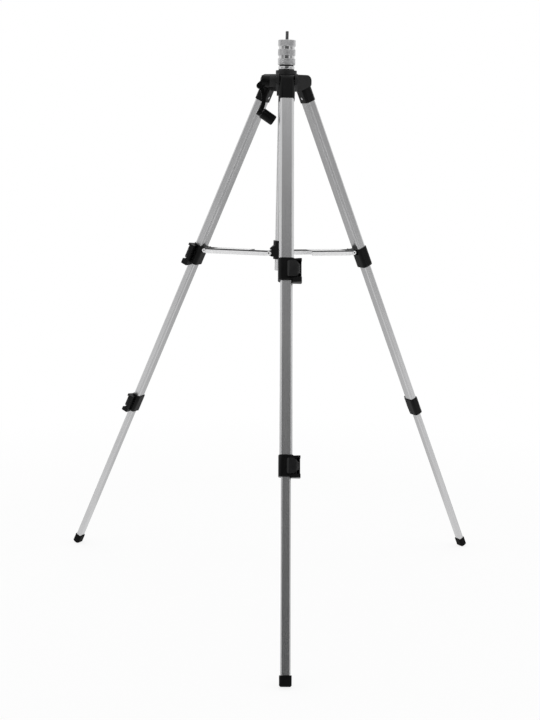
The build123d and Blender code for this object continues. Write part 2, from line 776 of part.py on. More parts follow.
with BuildPart() as column_plug:
    with BuildSketch(Plane.XZ):
        with BuildLine():
            tail_radius = column_radius - column_wall - pin_seat_clearance
            Polyline(
                (0, -plug_spigot_top_drop),
                (plug_spigot_radius, -plug_spigot_top_drop),
                (plug_spigot_radius, -neck_top_drop),
                (neck_radius, -neck_top_drop),
                (neck_radius, -spider_lip_drop),
                (tail_radius, -spider_lip_drop),
                (tail_radius, -spider_lip_drop - plug_tail_length),
                (0, -spider_lip_drop - plug_tail_length),
                close=True,
            )
        make_face()
    revolve(axis=Axis.Z)
save(column_plug.part, "column_plug")

# Head: three gripping bands parted by smooth grooves, and the stud that stands in it
with BuildPart() as head:
    profile = [(0, 0)]
    for band in range(head_band_count):
        band_top = -band * (head_band_height + head_groove_height)
        band_low = band_top - head_band_height
        if band > 0:
            profile.append((head_groove_radius, band_top))
        profile.append((head_radius - head_edge_chamfer, band_top))
        profile.append((head_radius, band_top - head_edge_chamfer))
        profile.append((head_radius, band_low + head_edge_chamfer))
        profile.append((head_radius - head_edge_chamfer, band_low))
        if band < head_band_count - 1:
            profile.append((head_groove_radius, band_low))
    profile += [(head_foot_radius, band_low), (head_foot_radius, -head_height), (0, -head_height)]
    with BuildSketch(Plane.XZ):
        with BuildLine():
            Polyline(*profile, close=True)
        make_face()
    revolve(axis=Axis.Z)
    with BuildSketch(Plane.XY.offset(-head_height)):
        Circle(plug_spigot_radius + running_clearance)
    extrude(amount=head_height - plug_spigot_top_drop + swing_clearance, mode=Mode.SUBTRACT)
    with BuildSketch(Plane.XY.offset(-stud_shank_length)):
        Circle(stud_shank_radius + pin_seat_clearance)
    extrude(amount=stud_shank_length, mode=Mode.SUBTRACT)
save(head.part, "head")

with BuildPart() as stud:
    with BuildSketch(Plane.XY):
        Circle(stud_radius)
    extrude(amount=stud_length)
    chamfer(stud.edges().sort_by(Axis.Z)[-1], length=stud_tip_chamfer)
    with BuildSketch(Plane.XY.offset(-stud_shank_length)):
        Circle(stud_shank_radius)
    extrude(amount=stud_shank_length)
save(stud.part, "stud")

# Pinion on its shaft
with BuildPart() as pinion:
    with BuildSketch(shaft_plane.offset(-crank_hub_end + crank_shaft_end_wall)):
        Circle(shaft_radius)
    extrude(amount=crank_hub_end - crank_shaft_end_wall + shaft_blind_end)
    with BuildSketch(shaft_plane.offset(-pinion_width / 2)):
        Circle(pinion_pitch_radius - gear_dedendum)
        tooth_root = pinion_pitch_radius - gear_dedendum - gear_module / 4
        tooth_tip = pinion_pitch_radius + gear_addendum
        with PolarLocations(0, pinion_teeth):
            half_low = tooth_half + (pinion_pitch_radius - tooth_root) * tooth_spread
            half_high = tooth_half - gear_addendum * tooth_spread
            Polygon(
                (tooth_root, -half_low),
                (tooth_tip, -half_high),
                (tooth_tip, half_high),
                (tooth_root, half_low),
                align=None,
            )
    extrude(amount=pinion_width)
save(pinion.part, "pinion_shaft")

# Crank: seen from the front, local X runs to the left of the column's axis and local Y up
crank_plane = Plane(origin=(0, -shaft_forward, 0), x_dir=(-1, 0, 0), z_dir=(0, 1, 0))
fold_place = (fold_pin_out, -fold_pin_drop)
with BuildPart() as crank_hub:
    with BuildSketch(shaft_plane.offset(-crank_hub_end)):
        Circle(crank_boss_radius)
    extrude(amount=crank_hub_end - crank_boss_end - crank_gap)
    outer_rim = crank_hub.edges().filter_by(GeomType.CIRCLE).sort_by(Axis.X)[0]
    fillet(outer_rim, radius=crank_hub_fillet)
    with BuildSketch(crank_plane):
        with Locations(fold_place):
            Circle(fold_cheek_radius)
        with Locations(((crank_boss_end + crank_hub_end) / 2, -shaft_drop)):
            Rectangle((crank_hub_end - crank_boss_end) / 2, crank_boss_radius)
        make_hull()
    extrude(amount=fold_cheek_half, both=True)
    with BuildSketch(crank_plane):
        slot_start = crank_hub_end - arm_slot_depth
        slot_length = 4 * fold_cheek_radius
        with Locations((slot_start + slot_length / 2, -shaft_drop)):
            Rectangle(slot_length, 8 * crank_boss_radius)
    extrude(amount=arm_thickness / 2 + crank_gap, both=True, mode=Mode.SUBTRACT)
    with BuildSketch(shaft_plane.offset(-crank_hub_end + crank_shaft_end_wall - crank_gap)):
        Circle(shaft_radius + running_clearance)
    extrude(amount=crank_hub_end, mode=Mode.SUBTRACT)
    with BuildSketch(crank_plane):
        with Locations(fold_place):
            Circle(fold_pin_radius + pin_seat_clearance)
    extrude(amount=fold_cheek_half, both=True, mode=Mode.SUBTRACT)
save(crank_hub.part, "crank_hub")

with BuildPart() as crank_fold_pin:
    with BuildSketch(crank_plane):
        with Locations(fold_place):
            Circle(fold_pin_radius)
    extrude(amount=fold_cheek_half, both=True)
save(crank_fold_pin.part, "crank_fold_pin")

knob_outward = Vector(cos(radians(knob_tilt)), 0, -sin(radians(knob_tilt)))
boss_start = Vector(-arm_end_out, -shaft_forward, -arm_end_drop) - knob_outward * (arm_boss_length / 2)
knob_plane = Plane(origin=boss_start, x_dir=(0, 1, 0), z_dir=knob_outward)
with BuildPart() as crank_arm:
    with BuildSketch(crank_plane):
        with BuildLine(mode=Mode.PRIVATE) as bow:
            ThreePointArc(fold_place, (arm_bow_out, -arm_bow_drop), (arm_end_out, -arm_end_drop))
        SlotArc(bow.line.edges()[0], arm_width)
        with Locations(fold_place):
            Circle(fold_cheek_radius - crank_gap)
    extrude(amount=arm_thickness / 2, both=True)
    with BuildSketch(knob_plane):
        Circle(arm_boss_radius)
    extrude(amount=arm_boss_length)
    with BuildSketch(crank_plane):
        with Locations(fold_place):
            Circle(fold_pin_radius + running_clearance)
    extrude(amount=arm_thickness, both=True, mode=Mode.SUBTRACT)
    with BuildSketch(knob_plane.offset(arm_boss_length)):
        Circle(knob_axle_radius)
    extrude(amount=knob_axle_reach)
save(crank_arm.part, "crank_arm")

with BuildPart() as crank_knob:
    with BuildSketch(knob_plane.offset(arm_boss_length + crank_gap)):
        Circle(knob_radius)
    extrude(amount=knob_length)
    knob_axis = Axis(knob_plane.origin, knob_plane.z_dir)
    fillet(crank_knob.edges().filter_by(GeomType.CIRCLE).sort_by(knob_axis)[-1], radius=knob_end_fillet)
    chamfer(crank_knob.edges().filter_by(GeomType.CIRCLE).sort_by(knob_axis)[0], length=knob_rim_chamfer)
    with BuildSketch(knob_plane.offset(arm_boss_length)):
        Circle(knob_axle_radius + running_clearance)
    extrude(amount=knob_axle_reach + crank_gap, mode=Mode.SUBTRACT)
save(crank_knob.part, "crank_knob")
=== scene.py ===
import bmesh
import bpy
import json
import math
from mathutils import Matrix, Vector


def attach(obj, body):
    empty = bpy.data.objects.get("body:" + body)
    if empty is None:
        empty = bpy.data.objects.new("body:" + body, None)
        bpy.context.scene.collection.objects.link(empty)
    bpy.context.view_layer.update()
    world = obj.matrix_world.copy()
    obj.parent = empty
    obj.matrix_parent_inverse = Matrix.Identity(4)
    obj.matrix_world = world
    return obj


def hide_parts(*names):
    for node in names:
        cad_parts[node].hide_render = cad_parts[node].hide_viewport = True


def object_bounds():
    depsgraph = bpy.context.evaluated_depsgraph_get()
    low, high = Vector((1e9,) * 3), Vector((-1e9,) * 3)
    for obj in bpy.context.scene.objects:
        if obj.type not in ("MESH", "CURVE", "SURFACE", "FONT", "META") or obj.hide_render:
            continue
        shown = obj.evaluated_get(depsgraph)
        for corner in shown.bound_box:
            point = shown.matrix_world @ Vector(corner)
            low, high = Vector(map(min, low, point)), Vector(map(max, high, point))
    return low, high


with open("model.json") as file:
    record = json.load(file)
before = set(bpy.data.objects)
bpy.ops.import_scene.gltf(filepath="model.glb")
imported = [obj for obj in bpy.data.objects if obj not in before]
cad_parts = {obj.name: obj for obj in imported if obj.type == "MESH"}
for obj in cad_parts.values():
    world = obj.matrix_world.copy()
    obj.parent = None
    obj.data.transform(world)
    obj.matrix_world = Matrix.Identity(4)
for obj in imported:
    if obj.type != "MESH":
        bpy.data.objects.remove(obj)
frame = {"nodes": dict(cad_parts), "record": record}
cadBox = [list(corner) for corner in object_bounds()]
nodes = frame["nodes"]
scene = bpy.context.scene
upward = Vector((0, 0, 1))
print("frame loaded,", len(nodes), "nodes")

# where the legs stand, in metres and degrees
legLayout = {
    "azimuth": {"front": -90.0, "right": 30.0, "left": 150.0},
    "splay": 24.74,
    "pivotRadius": 0.034,
    "pivotDrop": 0.0756,
}


def legAxes(leg):
    # away and aside are level, down runs along the tubes, face points out of their wide outer side
    turn = math.radians(legLayout["azimuth"][leg])
    lean = math.radians(legLayout["splay"])
    away = Vector((math.cos(turn), math.sin(turn), 0))
    return {
        "away": away,
        "aside": Vector((-math.sin(turn), math.cos(turn), 0)),
        "down": away * math.sin(lean) - upward * math.cos(lean),
        "face": away * math.cos(lean) + upward * math.sin(lean),
        "pivot": away * legLayout["pivotRadius"] - upward * legLayout["pivotDrop"],
    }


def onLeg(leg, along, outward):
    axes = legAxes(leg)
    return axes["pivot"] + axes["down"] * along + axes["face"] * outward


# the brace falls a little from the hub to the clamp, so its own up direction leans
braceLine = {"lean": 0.0251, "clampRadius": 0.16158, "clampDrop": 0.39668, "above": 0.0044}


def braceAtClamp(leg):
    return legAxes(leg)["away"] * braceLine["clampRadius"] - upward * braceLine["clampDrop"]


def freshFinish(name):
    finish = bpy.data.materials.new(name)
    finish.use_nodes = True
    tree = finish.node_tree
    return finish, tree, tree.nodes["Principled BSDF"]


def bareFinish(name):
    finish = bpy.data.materials.new(name)
    finish.use_nodes = True
    finish.node_tree.nodes.clear()
    return finish, finish.node_tree


def addNode(tree, kind, **values):
    node = tree.nodes.new(kind)
    for key, value in values.items():
        setattr(node, key, value)
    return node


def noiseOf(tree, source, size, detail, rough=0.55):
    noise = addNode(tree, "ShaderNodeTexNoise")
    noise.inputs["Scale"].default_value = size
    noise.inputs["Detail"].default_value = detail
    noise.inputs["Roughness"].default_value = rough
    tree.links.new(source, noise.inputs["Vector"])
    return noise.outputs["Fac"]


def spread(tree, value, low, high, fromLow=0.3, fromHigh=0.7):
    reach = addNode(tree, "ShaderNodeMapRange")
    reach.inputs["From Min"].default_value = fromLow
    reach.inputs["From Max"].default_value = fromHigh
    reach.inputs["To Min"].default_value = low
    reach.inputs["To Max"].default_value = high
    tree.links.new(value, reach.inputs["Value"])
    return reach.outputs["Result"]


def tint(tree, value, dark, light, fromLow=0.3, fromHigh=0.7):
    ramp = addNode(tree, "ShaderNodeValToRGB")
    first, second = ramp.color_ramp.elements
    first.position = fromLow
    first.color = (*dark, 1)
    second.position = fromHigh
    second.color = (*light, 1)
    tree.links.new(value, ramp.inputs["Fac"])
    return ramp.outputs["Color"]


def paint(tree, shader, colour, roughness):
    tree.links.new(colour, shader.inputs["Base Color"])
    tree.links.new(roughness, shader.inputs["Roughness"])


def relief(tree, shader, value, depth, strength):
    bump = addNode(tree, "ShaderNodeBump")
    bump.inputs["Strength"].default_value = strength
    bump.inputs["Distance"].default_value = depth
    tree.links.new(value, bump.inputs["Height"])
    tree.links.new(bump.outputs["Normal"], shader.inputs["Normal"])


def combine(tree, operation, first, second=0.0):
    # one maths node, where either value may be a plain number
    node = addNode(tree, "ShaderNodeMath", operation=operation)
    for value, socket in zip((first, second), node.inputs):
        if isinstance(value, (int, float)):
            socket.default_value = value
        else:
            tree.links.new(value, socket)
    return node.outputs["Value"]


def heightAlong(tree, source, direction):
    dot = addNode(tree, "ShaderNodeVectorMath", operation="DOT_PRODUCT")
    dot.inputs[1].default_value = direction
    tree.links.new(source, dot.inputs[0])
    return dot.outputs["Value"]


def objectPlace(tree):
    return addNode(tree, "ShaderNodeTexCoord").outputs["Object"]


def drawnPlace(tree, along, across, lengthwise):
    # coordinates squeezed along one direction, so noise turns into drawing lines
    place = objectPlace(tree)
    wide = addNode(tree, "ShaderNodeVectorMath", operation="SCALE")
    wide.inputs["Scale"].default_value = across
    tree.links.new(place, wide.inputs[0])
    less = addNode(tree, "ShaderNodeVectorMath", operation="SCALE")
    less.inputs[0].default_value = Vector(along) * (lengthwise - across)
    tree.links.new(heightAlong(tree, place, along), less.inputs["Scale"])
    total = addNode(tree, "ShaderNodeVectorMath", operation="ADD")
    tree.links.new(wide.outputs["Vector"], total.inputs[0])
    tree.links.new(less.outputs["Vector"], total.inputs[1])
    return total.outputs["Vector"]


tubeLook = {
    "dark": (0.535, 0.535, 0.54), "light": (0.585, 0.585, 0.59), "metal": 0.97,
    "darkBelow": 0.38, "lightAbove": 0.62, "roughLow": 0.22, "roughHigh": 0.27,
    "streak": 900.0, "stretch": 6.0, "streakShare": 0.55, "cloud": 14.0, "cloudShare": 0.45,
    "detail": 3.0, "depth": 0.000004, "bump": 0.5,
}


def tubeFinish(name, along, look=tubeLook):
    # drawn metal with fine lines along the tube and faint clouds
    finish, tree, shader = freshFinish(name)
    lines = drawnPlace(tree, along, look["streak"], look["stretch"])
    streaks = noiseOf(tree, lines, size=1.0, detail=look["detail"])
    clouds = noiseOf(tree, objectPlace(tree), look["cloud"], look["detail"])
    streakPart = combine(tree, "MULTIPLY", streaks, look["streakShare"])
    cloudPart = combine(tree, "MULTIPLY", clouds, look["cloudShare"])
    mixed = combine(tree, "ADD", streakPart, cloudPart)
    colour = tint(tree, mixed, look["dark"], look["light"], look["darkBelow"], look["lightAbove"])
    paint(tree, shader, colour, spread(tree, streaks, look["roughLow"], look["roughHigh"]))
    shader.inputs["Metallic"].default_value = look["metal"]
    relief(tree, shader, streaks, look["depth"], look["bump"])
    return finish


braceLook = {
    "dark": (0.80, 0.80, 0.805), "light": (0.90, 0.90, 0.905), "metal": 0.35,
    # edge is the colour of painted shade: a dark band along the top of the brace sides, where the channel
    # lies in shade
    "edge": (0.05, 0.05, 0.052), "shadeBandHeight": 0.0026, "shadeBandBlur": 0.0003, "sideBelow": 0.5, "topAbove": 0.8,
    "roughLow": 0.26, "roughHigh": 0.36, "streak": 900.0, "stretch": 6.0, "detail": 3.0,
    "beadPitch": 0.0032, "beadDepth": 0.00025, "bump": 0.6,
}
mixSockets = {"first": 6, "second": 7, "result": 2}  # the colour sockets of a mix node


def braceFinish(name, along, up, top, look=braceLook):
    # rolled sheet with shallow beads along it; its sides carry painted shade, a dark band along the bent
    # upper edge
    finish, tree, shader = freshFinish(name)
    lines = drawnPlace(tree, along, look["streak"], look["stretch"])
    streaks = noiseOf(tree, lines, size=1.0, detail=look["detail"])
    sheet = tint(tree, streaks, look["dark"], look["light"])
    height = heightAlong(tree, objectPlace(tree), up)
    # painted shade: the upright sides turn dark within a narrow band under the top edge
    shadeBandStart = top - look["shadeBandHeight"]
    inShadeBand = spread(tree, height, 0.0, 1.0, shadeBandStart - look["shadeBandBlur"], shadeBandStart + look["shadeBandBlur"])
    normal = addNode(tree, "ShaderNodeTexCoord").outputs["Normal"]
    level = combine(tree, "ABSOLUTE", heightAlong(tree, normal, up))
    upright = spread(tree, level, 1.0, 0.0, look["sideBelow"], look["topAbove"])
    mix = addNode(tree, "ShaderNodeMix", data_type="RGBA")
    tree.links.new(combine(tree, "MULTIPLY", inShadeBand, upright), mix.inputs["Factor"])
    tree.links.new(sheet, mix.inputs[mixSockets["first"]])
    mix.inputs[mixSockets["second"]].default_value = (*look["edge"], 1)
    roughness = spread(tree, streaks, look["roughLow"], look["roughHigh"])
    paint(tree, shader, mix.outputs[mixSockets["result"]], roughness)
    shader.inputs["Metallic"].default_value = look["metal"]
    wave = combine(tree, "SINE", combine(tree, "MULTIPLY", height, 2 * math.pi / look["beadPitch"]))
    relief(tree, shader, wave, look["beadDepth"], look["bump"])
    return finish


plasticLook = {
    "dark": (0.0016, 0.0016, 0.0017), "light": (0.0034, 0.0034, 0.0036), "shine": 0.14,
    "roughLow": 0.3, "roughHigh": 0.42, "grain": 1800.0, "grainDetail": 2.0,
    "cloud": 60.0, "cloudDetail": 4.0, "depth": 0.000015, "bump": 0.45,
}
spiderLook = dict(
    plasticLook, dark=(0.013, 0.013, 0.0134), light=(0.020, 0.020, 0.0206),
    shine=0.2, roughLow=0.4, roughHigh=0.55,
)
leverLook = dict(
    plasticLook, dark=(0.006, 0.006, 0.0063), light=(0.011, 0.011, 0.0114),
    shine=0.28, roughLow=0.26, roughHigh=0.38,
)
rubberLook = dict(plasticLook, shine=0.1, roughLow=0.62, roughHigh=0.82, grain=900.0, depth=0.00004)


def mouldedFinish(name, look):
    finish, tree, shader = freshFinish(name)
    place = objectPlace(tree)
    grain = noiseOf(tree, place, look["grain"], look["grainDetail"])
    clouds = noiseOf(tree, place, look["cloud"], look["cloudDetail"])
    colour = tint(tree, clouds, look["dark"], look["light"])
    paint(tree, shader, colour, spread(tree, clouds, look["roughLow"], look["roughHigh"]))
    shader.inputs["Specular IOR Level"].default_value = look["shine"]
    relief(tree, shader, grain, look["depth"], look["bump"])
    return finish


steelLook = {
    "dark": (0.56, 0.56, 0.57), "light": (0.74, 0.74, 0.75), "metal": 1.0,
    "roughLow": 0.18, "roughHigh": 0.34, "grain": 700.0, "grainDetail": 5.0,
    "cloud": 90.0, "cloudDetail": 3.0, "depth": 0.00002, "bump": 0.3,
}
rivetLook = dict(
    steelLook, dark=(0.88, 0.88, 0.885), light=(0.96, 0.96, 0.965),
    metal=0.3, roughLow=0.28, roughHigh=0.4,
)
studLook = dict(
    steelLook, dark=(0.17, 0.17, 0.175), light=(0.30, 0.30, 0.305),
    roughLow=0.26, roughHigh=0.42,
)
knurlLook = dict(
    steelLook, dark=(0.54, 0.54, 0.545), light=(0.70, 0.70, 0.705),
    roughLow=0.34, roughHigh=0.5,
)
grooveLook = dict(
    steelLook, dark=(0.52, 0.52, 0.525), light=(0.60, 0.60, 0.605),
    roughLow=0.12, roughHigh=0.2, depth=0.000004,
)
blackenedLook = dict(
    steelLook, dark=(0.012, 0.012, 0.0125), light=(0.022, 0.022, 0.0225),
    roughLow=0.38, roughHigh=0.5,
)
# painted shade: a dark metal for the groove under the head's last band, its foot ring and the hollows of the
# brace rivets
recessShadeLook = dict(
    steelLook, dark=(0.03, 0.03, 0.031), light=(0.06, 0.06, 0.061),
    roughLow=0.4, roughHigh=0.55,
)


def metalFinish(name, look):
    finish, tree, shader = freshFinish(name)
    place = objectPlace(tree)
    grain = noiseOf(tree, place, look["grain"], look["grainDetail"])
    clouds = noiseOf(tree, place, look["cloud"], look["cloudDetail"])
    colour = tint(tree, clouds, look["dark"], look["light"])
    paint(tree, shader, colour, spread(tree, grain, look["roughLow"], look["roughHigh"]))
    shader.inputs["Metallic"].default_value = look["metal"]
    relief(tree, shader, grain, look["depth"], look["bump"])
    return finish


blackPlastic = mouldedFinish("blackPlastic", plasticLook)
spiderPlastic = mouldedFinish("spiderPlastic", spiderLook)
leverPlastic = mouldedFinish("leverPlastic", leverLook)
footRubber = mouldedFinish("footRubber", rubberLook)
brightSteel = metalFinish("brightSteel", steelLook)
zincRivet = metalFinish("zincRivet", rivetLook)
studSteel = metalFinish("studSteel", studLook)
knurledMetal = metalFinish("knurledMetal", knurlLook)
turnedMetal = metalFinish("turnedMetal", grooveLook)
recessShadeMetal = metalFinish("recessShadeMetal", recessShadeLook)
blackenedSteel = metalFinish("blackenedSteel", blackenedLook)
uprightTube = tubeFinish("uprightTube", tuple(upward))
print("finishes made")


def dress(name, finish):
    piece = nodes[name]
    piece.data.materials.clear()
    piece.data.materials.append(finish)


# every node by its slot first, then those with a finish of their own
slotFinish = {
    "black_plastic": blackPlastic,
    "lever_plastic": leverPlastic,
    "rack_plastic": blackPlastic,
    "rubber": footRubber,
    "bright_steel": brightSteel,
    "head_metal": turnedMetal,
    "stud_steel": studSteel,
    "satin_tube": uprightTube,
    "brace_sheet": uprightTube,
}
ownFinish = {"crank_fold_pin": blackenedSteel, "spider": spiderPlastic, "column_plug": turnedMetal}


def dressLeg(leg):
    axes = legAxes(leg)
    legTube = tubeFinish(leg + "Tube", tuple(axes["down"]))
    for part in ("upper_tube", "middle_tube", "lower_tube"):
        dress(leg + "_" + part, legTube)
    braceUp = (axes["away"] * braceLine["lean"] + upward).normalized()
    braceAlong = (axes["away"] - upward * braceLine["lean"]).normalized()
    braceTop = braceAtClamp(leg).dot(braceUp) + braceLine["above"]
    dress(leg + "_brace", braceFinish(leg + "BraceSheet", tuple(braceAlong), tuple(braceUp), braceTop))
    for part in ("upper_lever_pin", "lower_lever_pin"):
        dress(leg + "_" + part, blackenedSteel)
    dress(leg + "_brace_rivets", zincRivet)


for entry in frame["record"]["subparts"]:
    dress(entry["node"], slotFinish[entry["material_slot"]])
for leg in legLayout["azimuth"]:
    dressLeg(leg)
for name, finish in ownFinish.items():
    dress(name, finish)
print("CAD pieces dressed")


def finishMesh(name, points, faces, finishList, body, kinds=None, smooth=True):
    # kinds gives each face its place in the list of finishes
    mesh = bpy.data.meshes.new(name)
    mesh.from_pydata(points, [], faces)
    mesh.update()
    for finish in finishList:
        mesh.materials.append(finish)
    for polygon in mesh.polygons:
        polygon.use_smooth = smooth
        if kinds:
            polygon.material_index = kinds[polygon.index]
    piece = bpy.data.objects.new(name, mesh)
    scene.collection.objects.link(piece)
    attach(piece, body)
    return piece


def ringPoint(radius, share, height):
    turn = 2 * math.pi * share
    return (radius * math.cos(turn), radius * math.sin(turn), height)


def ringFaces(start, columns):
    # the faces between the ring that begins at start and the next one
    faces = []
    for column in range(columns):
        here = start + column
        beside = start + (column + 1) % columns
        faces.append((here, beside, beside + columns, here + columns))
    return faces


headShape = {
    "bandRadius": 0.0161, "grooveRadius": 0.0146, "footRadius": 0.0132, "chamfer": 0.0006,
    "bandCount": 3, "bandHeight": 0.0118, "grooveHeight": 0.0049, "footHeight": 0.0023,
    "columns": 432, "ridges": 72, "lead": 0.0017, "depth": 0.00038, "rowStep": 0.00042,
    "ridgeSlope": 1.6, "endFade": 0.3,
    "shankBore": 0.0046, "shankDepth": 0.012, "spigotBore": 0.0071, "spigotTop": 0.0137,
}


def headRows(shape):
    # each row is height, radius, depth of the knurl and the finish of the ring below it
    knurled, smooth, recessShade = range(3)
    rim = shape["bandRadius"] - shape["chamfer"]
    cutHeight = shape["bandHeight"] - 2 * shape["chamfer"]
    count = int(cutHeight / shape["rowStep"])
    rows = [(0.0, shape["shankBore"], 0.0, smooth)]
    for band in range(shape["bandCount"]):
        top = band * (shape["bandHeight"] + shape["grooveHeight"])
        low = top + shape["bandHeight"]
        last = band == shape["bandCount"] - 1
        if band > 0:
            rows.append((-top, shape["grooveRadius"], 0.0, smooth))
        rows.append((-top, rim, 0.0, knurled))
        for index in range(count + 1):
            height = -top - shape["chamfer"] - cutHeight * index / count
            fade = shape["endFade"] if index in (0, count) else 1.0
            rows.append((height, shape["bandRadius"], fade, knurled))
        # the groove under the last band and the foot ring take the dark finish of painted shade
        below = recessShade if last else smooth
        rows.append((-low, rim, 0.0, below))
        rows.append((-low, shape["footRadius"] if last else shape["grooveRadius"], 0.0, below))
    foot = -low - shape["footHeight"]
    rows.append((foot, shape["footRadius"], 0.0, recessShade))
    rows.append((foot, shape["spigotBore"], 0.0, smooth))
    rows.append((-shape["spigotTop"], shape["spigotBore"], 0.0, smooth))
    rows.append((-shape["shankDepth"], shape["shankBore"], 0.0, smooth))
    return rows


def knurlRidge(shape, share, height):
    # one on the crossed ridges, nought between them
    first = (share * shape["ridges"] + height / shape["lead"]) % 1.0
    second = (share * shape["ridges"] - height / shape["lead"]) % 1.0
    ridge = min(abs(first - 0.5), abs(second - 0.5)) * 2
    return min(1.0, shape["ridgeSlope"] * ridge)


def buildHead():
    shape = headShape
    rows = headRows(shape)
    columns = shape["columns"]
    points, faces, kinds = [], [], []
    for row, (height, radius, cut, kind) in enumerate(rows):
        start = row * columns
        below = (row + 1) % len(rows) * columns  # the last row closes on the first, down the bore
        for column in range(columns):
            share = column / columns
            here = radius - cut * shape["depth"] * (1 - knurlRidge(shape, share, height))
            points.append(ringPoint(here, share, height))
            beside = (column + 1) % columns
            faces.append((start + column, below + column, below + beside, start + beside))
            kinds.append(kind)
    finishList = [knurledMetal, turnedMetal, recessShadeMetal]
    piece = finishMesh("knurledHead", points, faces, finishList, "head", kinds, smooth=False)
    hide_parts("head")


studShape = {
    "crest": 0.003175, "root": 0.00262, "pitch": 0.00127, "length": 0.0159, "tip": 0.0009,
    "flankSlope": 2.6, "crestFlat": 0.15, "columns": 40, "perTurn": 8, "shank": 0.0045, "shankDepth": 0.012,
}


def threadRadius(shape, share, height):
    phase = (height / shape["pitch"] - share) % 1.0
    wave = min(1.0, max(0.0, shape["flankSlope"] * abs(phase - 0.5) - shape["crestFlat"]))
    here = shape["crest"] - (shape["crest"] - shape["root"]) * wave
    return min(here, shape["crest"] - max(0.0, height - shape["length"] + shape["tip"]))


def buildStud():
    shape = studShape
    columns = shape["columns"]
    steps = int(shape["length"] / shape["pitch"] * shape["perTurn"])
    # rows of height and radius; the thread has its own radius at each point
    rows = [(-shape["shankDepth"], shape["shank"]), (0.0, shape["shank"]), (0.0, shape["root"])]
    rows += [(shape["length"] * index / steps, None) for index in range(1, steps)]
    rows.append((shape["length"], shape["crest"] - shape["tip"]))
    points, faces = [], []
    for height, radius in rows:
        for column in range(columns):
            share = column / columns
            here = threadRadius(shape, share, height) if radius is None else radius
            points.append(ringPoint(here, share, height))
    top = (len(rows) - 1) * columns
    for start in range(0, top, columns):
        faces += ringFaces(start, columns)
    faces.append(tuple(range(columns - 1, -1, -1)))
    faces.append(tuple(range(top, top + columns)))
    piece = finishMesh("threadedStud", points, faces, [studSteel], "head", smooth=False)
    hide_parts("stud")


turnedShape = {"columns": 24}


def buildTurned(name, centre, outward, profile, finishList, body):
    # small turned piece: rows of radius, height and finish, from its seat to a last row on its axis
    columns = turnedShape["columns"]
    turnTo = outward.to_track_quat("Z", "Y").to_matrix()
    points, faces, kinds = [], [], []
    for radius, height, kind in profile[:-1]:
        for column in range(columns):
            spot = Vector(ringPoint(radius, column / columns, height))
            points.append(tuple(centre + turnTo @ spot))
            kinds.append(kind)
    tip = len(points)
    points.append(tuple(centre + outward * profile[-1][1]))
    lastRing = tip - columns
    for start in range(0, lastRing, columns):
        faces += ringFaces(start, columns)
    for column in range(columns):
        faces.append((lastRing + column, lastRing + (column + 1) % columns, tip))
    faces.append(tuple(range(columns - 1, -1, -1)))
    kinds.append(profile[0][2])
    finishMesh(name, points, faces, finishList, body, kinds)


knuckleRivet = {"along": 0.0275, "inset": 0.0106, "radius": 0.0026, "height": 0.001, "rings": 6}


def buildKnuckleRivet(leg):
    shape = knuckleRivet
    profile = []
    for ring in range(shape["rings"] + 1):
        lift = math.pi / 2 * ring / shape["rings"]
        profile.append((shape["radius"] * math.cos(lift), shape["height"] * math.sin(lift), 0))
    place = onLeg(leg, shape["along"], -shape["inset"])
    buildTurned(leg + "KnuckleRivet", place, -legAxes(leg)["face"], profile, [brightSteel], leg + "_leg")


braceRivet = {
    "nearFace": -0.0092, "farFace": 0.0188, "hubRadius": 0.019, "hubDrop": 0.3931,
    "radius": 0.0031, "rim": 0.0005, "rimSide": 0.6, "rimTop": 0.86,
    "lip": 0.0019, "hollow": 0.0015, "hollowTop": 0.5, "floor": 0.0001,
}


def buildBraceRivets(leg):
    # the rolled rim of a hollow rivet, on each head that the brace has
    shape = braceRivet
    axes = legAxes(leg)
    aside = axes["aside"]
    atClamp = braceAtClamp(leg)
    atHub = axes["away"] * shape["hubRadius"] - upward * shape["hubDrop"]
    # the rolled rim is bright rivet metal; the hollow rings take the dark finish of painted shade
    bright, dark = range(2)
    profile = [
        (shape["radius"], 0.0, bright),
        (shape["radius"], shape["rim"] * shape["rimSide"], bright),
        (shape["radius"] * shape["rimTop"], shape["rim"], bright),
        (shape["lip"], shape["rim"], bright),
        (shape["hollow"], shape["rim"] * shape["hollowTop"], dark),
        (shape["hollow"], shape["floor"], dark),
        (0.0, shape["floor"], dark),
    ]
    heads = {
        "ClampRivetFar": (atClamp + aside * shape["farFace"], aside),
        "ClampRivetNear": (atClamp + aside * shape["nearFace"], -aside),
        "HubRivet": (atHub + aside * shape["farFace"], aside),
    }
    for name, (place, outward) in heads.items():
        buildTurned(leg + name, place, outward, profile, [zincRivet, recessShadeMetal], leg + "_brace")


# the lug's top slopes from the tube down to the top of the brace
clampCut = {
    "rimAlong": 0.343, "faceDepth": 0.0112, "lift": 0.0042, "slope": 30.0,
    "join": 0.000005, "sharp": 35.0,
}


def buildClampHousing(leg):
    # a copy of the clamp, cut along that slope and closed again
    node = leg + "_upper_clamp"
    slope = math.radians(clampCut["slope"])
    normal = upward * math.cos(slope) - legAxes(leg)["away"] * math.sin(slope)
    spot = onLeg(leg, clampCut["rimAlong"], -clampCut["faceDepth"]) + upward * clampCut["lift"]
    shell = bmesh.new()
    shell.from_mesh(nodes[node].data)
    bmesh.ops.remove_doubles(shell, verts=shell.verts, dist=clampCut["join"])
    whole = list(shell.verts) + list(shell.edges) + list(shell.faces)
    cut = bmesh.ops.bisect_plane(shell, geom=whole, plane_co=spot, plane_no=normal, clear_outer=True)
    rim = [item for item in cut["geom_cut"] if isinstance(item, bmesh.types.BMEdge)]
    bmesh.ops.edgeloop_fill(shell, edges=rim)
    shell.verts.index_update()
    points = [tuple(corner.co) for corner in shell.verts]
    faces = [tuple(corner.index for corner in side.verts) for side in shell.faces]
    shell.free()
    piece = finishMesh(leg + "ClampHousing", points, faces, [blackPlastic], leg + "_leg")
    piece.data.set_sharp_from_angle(angle=math.radians(clampCut["sharp"]))
    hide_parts(node)
    return piece


